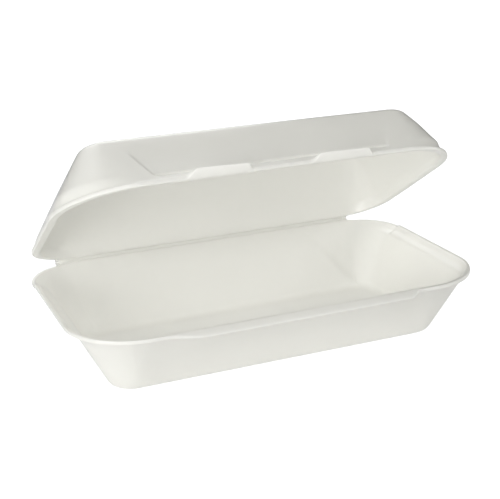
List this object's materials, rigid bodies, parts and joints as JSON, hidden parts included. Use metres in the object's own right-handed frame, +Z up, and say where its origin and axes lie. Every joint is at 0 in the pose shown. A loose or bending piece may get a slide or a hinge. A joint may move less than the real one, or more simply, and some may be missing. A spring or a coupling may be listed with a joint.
{
  "type": "foam clamshell container",
  "caption": "Hinged take-away box moulded from one sheet of white foam: sloping tray, matching lid standing ajar, thin crushed hinge and a front catch.",
  "frame": {"origin": "middle of the tray's foot, on the table", "axes": "+X along the hinge, to the right seen from the front; +Y to the back, where the hinge is; +Z up"},
  "size_m": [0.2414, 0.1443, 0.1291],
  "materials": {
    "foam": "satin"
  },
  "bodies": {
    "base": {"base_tray": "foam", "hinge_web": "foam"},
    "lid": {"lid": "foam"}
  },
  "joints": [
    {"name": "lid_hinge", "type": "hinge", "parent": "base", "child": "lid", "pos_m": [0, 0.0716, 0.0402], "axis": [-1, 0, 0], "range_deg": [-31.5, 148.5], "deforming": ["hinge_web"]}
  ]
}
